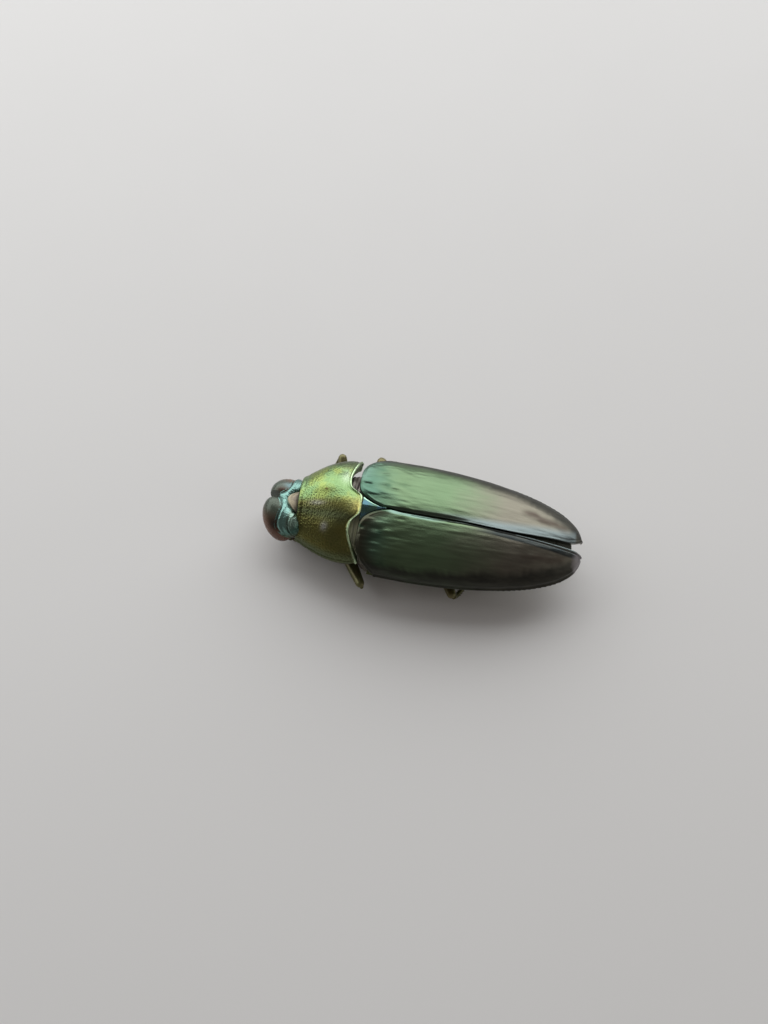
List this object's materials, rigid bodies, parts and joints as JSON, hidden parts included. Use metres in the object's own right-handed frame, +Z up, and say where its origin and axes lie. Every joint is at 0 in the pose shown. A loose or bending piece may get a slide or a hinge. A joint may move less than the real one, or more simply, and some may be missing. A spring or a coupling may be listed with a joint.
{
  "type": "jewel beetle",
  "caption": "Life-size metallic jewel beetle at rest, legs folded under the body; a still natural-history display model.",
  "frame": {"origin": "on the floor, under the middle of the beetle's bounding box", "axes": "+Z up through the back; the head points along -Y and the tail along +Y; +X is the beetle's left"},
  "size_m": [0.0154, 0.0341, 0.0077],
  "materials": {
    "green_shell": "costate metallic green wing case, turning purple-grey at the tail",
    "gold_shell": "punctured golden green shell, glossy",
    "teal_shell": "smooth blue-green metallic shell",
    "bronze_shell": "dark bronze-green metallic shell",
    "eye_lens": "dark brown faceted lens, glossy",
    "joint_skin": "dull brown membrane"
  },
  "bodies": {
    "root": {"elytron_left": "green_shell", "elytron_right": "green_shell", "prothorax": "gold_shell", "scutellum": "teal_shell", "head": "teal_shell", "mesothorax": "joint_skin", "neck": "joint_skin", "eye_left": "eye_lens", "eye_right": "eye_lens", "metathorax": "bronze_shell", "abdomen": "bronze_shell", "labrum": "bronze_shell", "mandible_left": "bronze_shell", "mandible_right": "bronze_shell", "palp_left": "bronze_shell", "palp_right": "bronze_shell", "antenna_left": "bronze_shell", "antenna_right": "bronze_shell", "coxa_fore_left": "bronze_shell", "femur_fore_left": "bronze_shell", "tibia_fore_left": "bronze_shell", "tarsus_fore_left": "bronze_shell", "coxa_fore_right": "bronze_shell", "femur_fore_right": "bronze_shell", "tibia_fore_right": "bronze_shell", "tarsus_fore_right": "bronze_shell", "coxa_mid_left": "bronze_shell", "femur_mid_left": "bronze_shell", "tibia_mid_left": "bronze_shell", "tarsus_mid_left": "bronze_shell", "coxa_mid_right": "bronze_shell", "femur_mid_right": "bronze_shell", "tibia_mid_right": "bronze_shell", "tarsus_mid_right": "bronze_shell", "coxa_hind_left": "bronze_shell", "femur_hind_left": "bronze_shell", "tibia_hind_left": "bronze_shell", "tarsus_hind_left": "bronze_shell", "coxa_hind_right": "bronze_shell", "femur_hind_right": "bronze_shell", "tibia_hind_right": "bronze_shell", "tarsus_hind_right": "bronze_shell"}
  },
  "joints": []
}
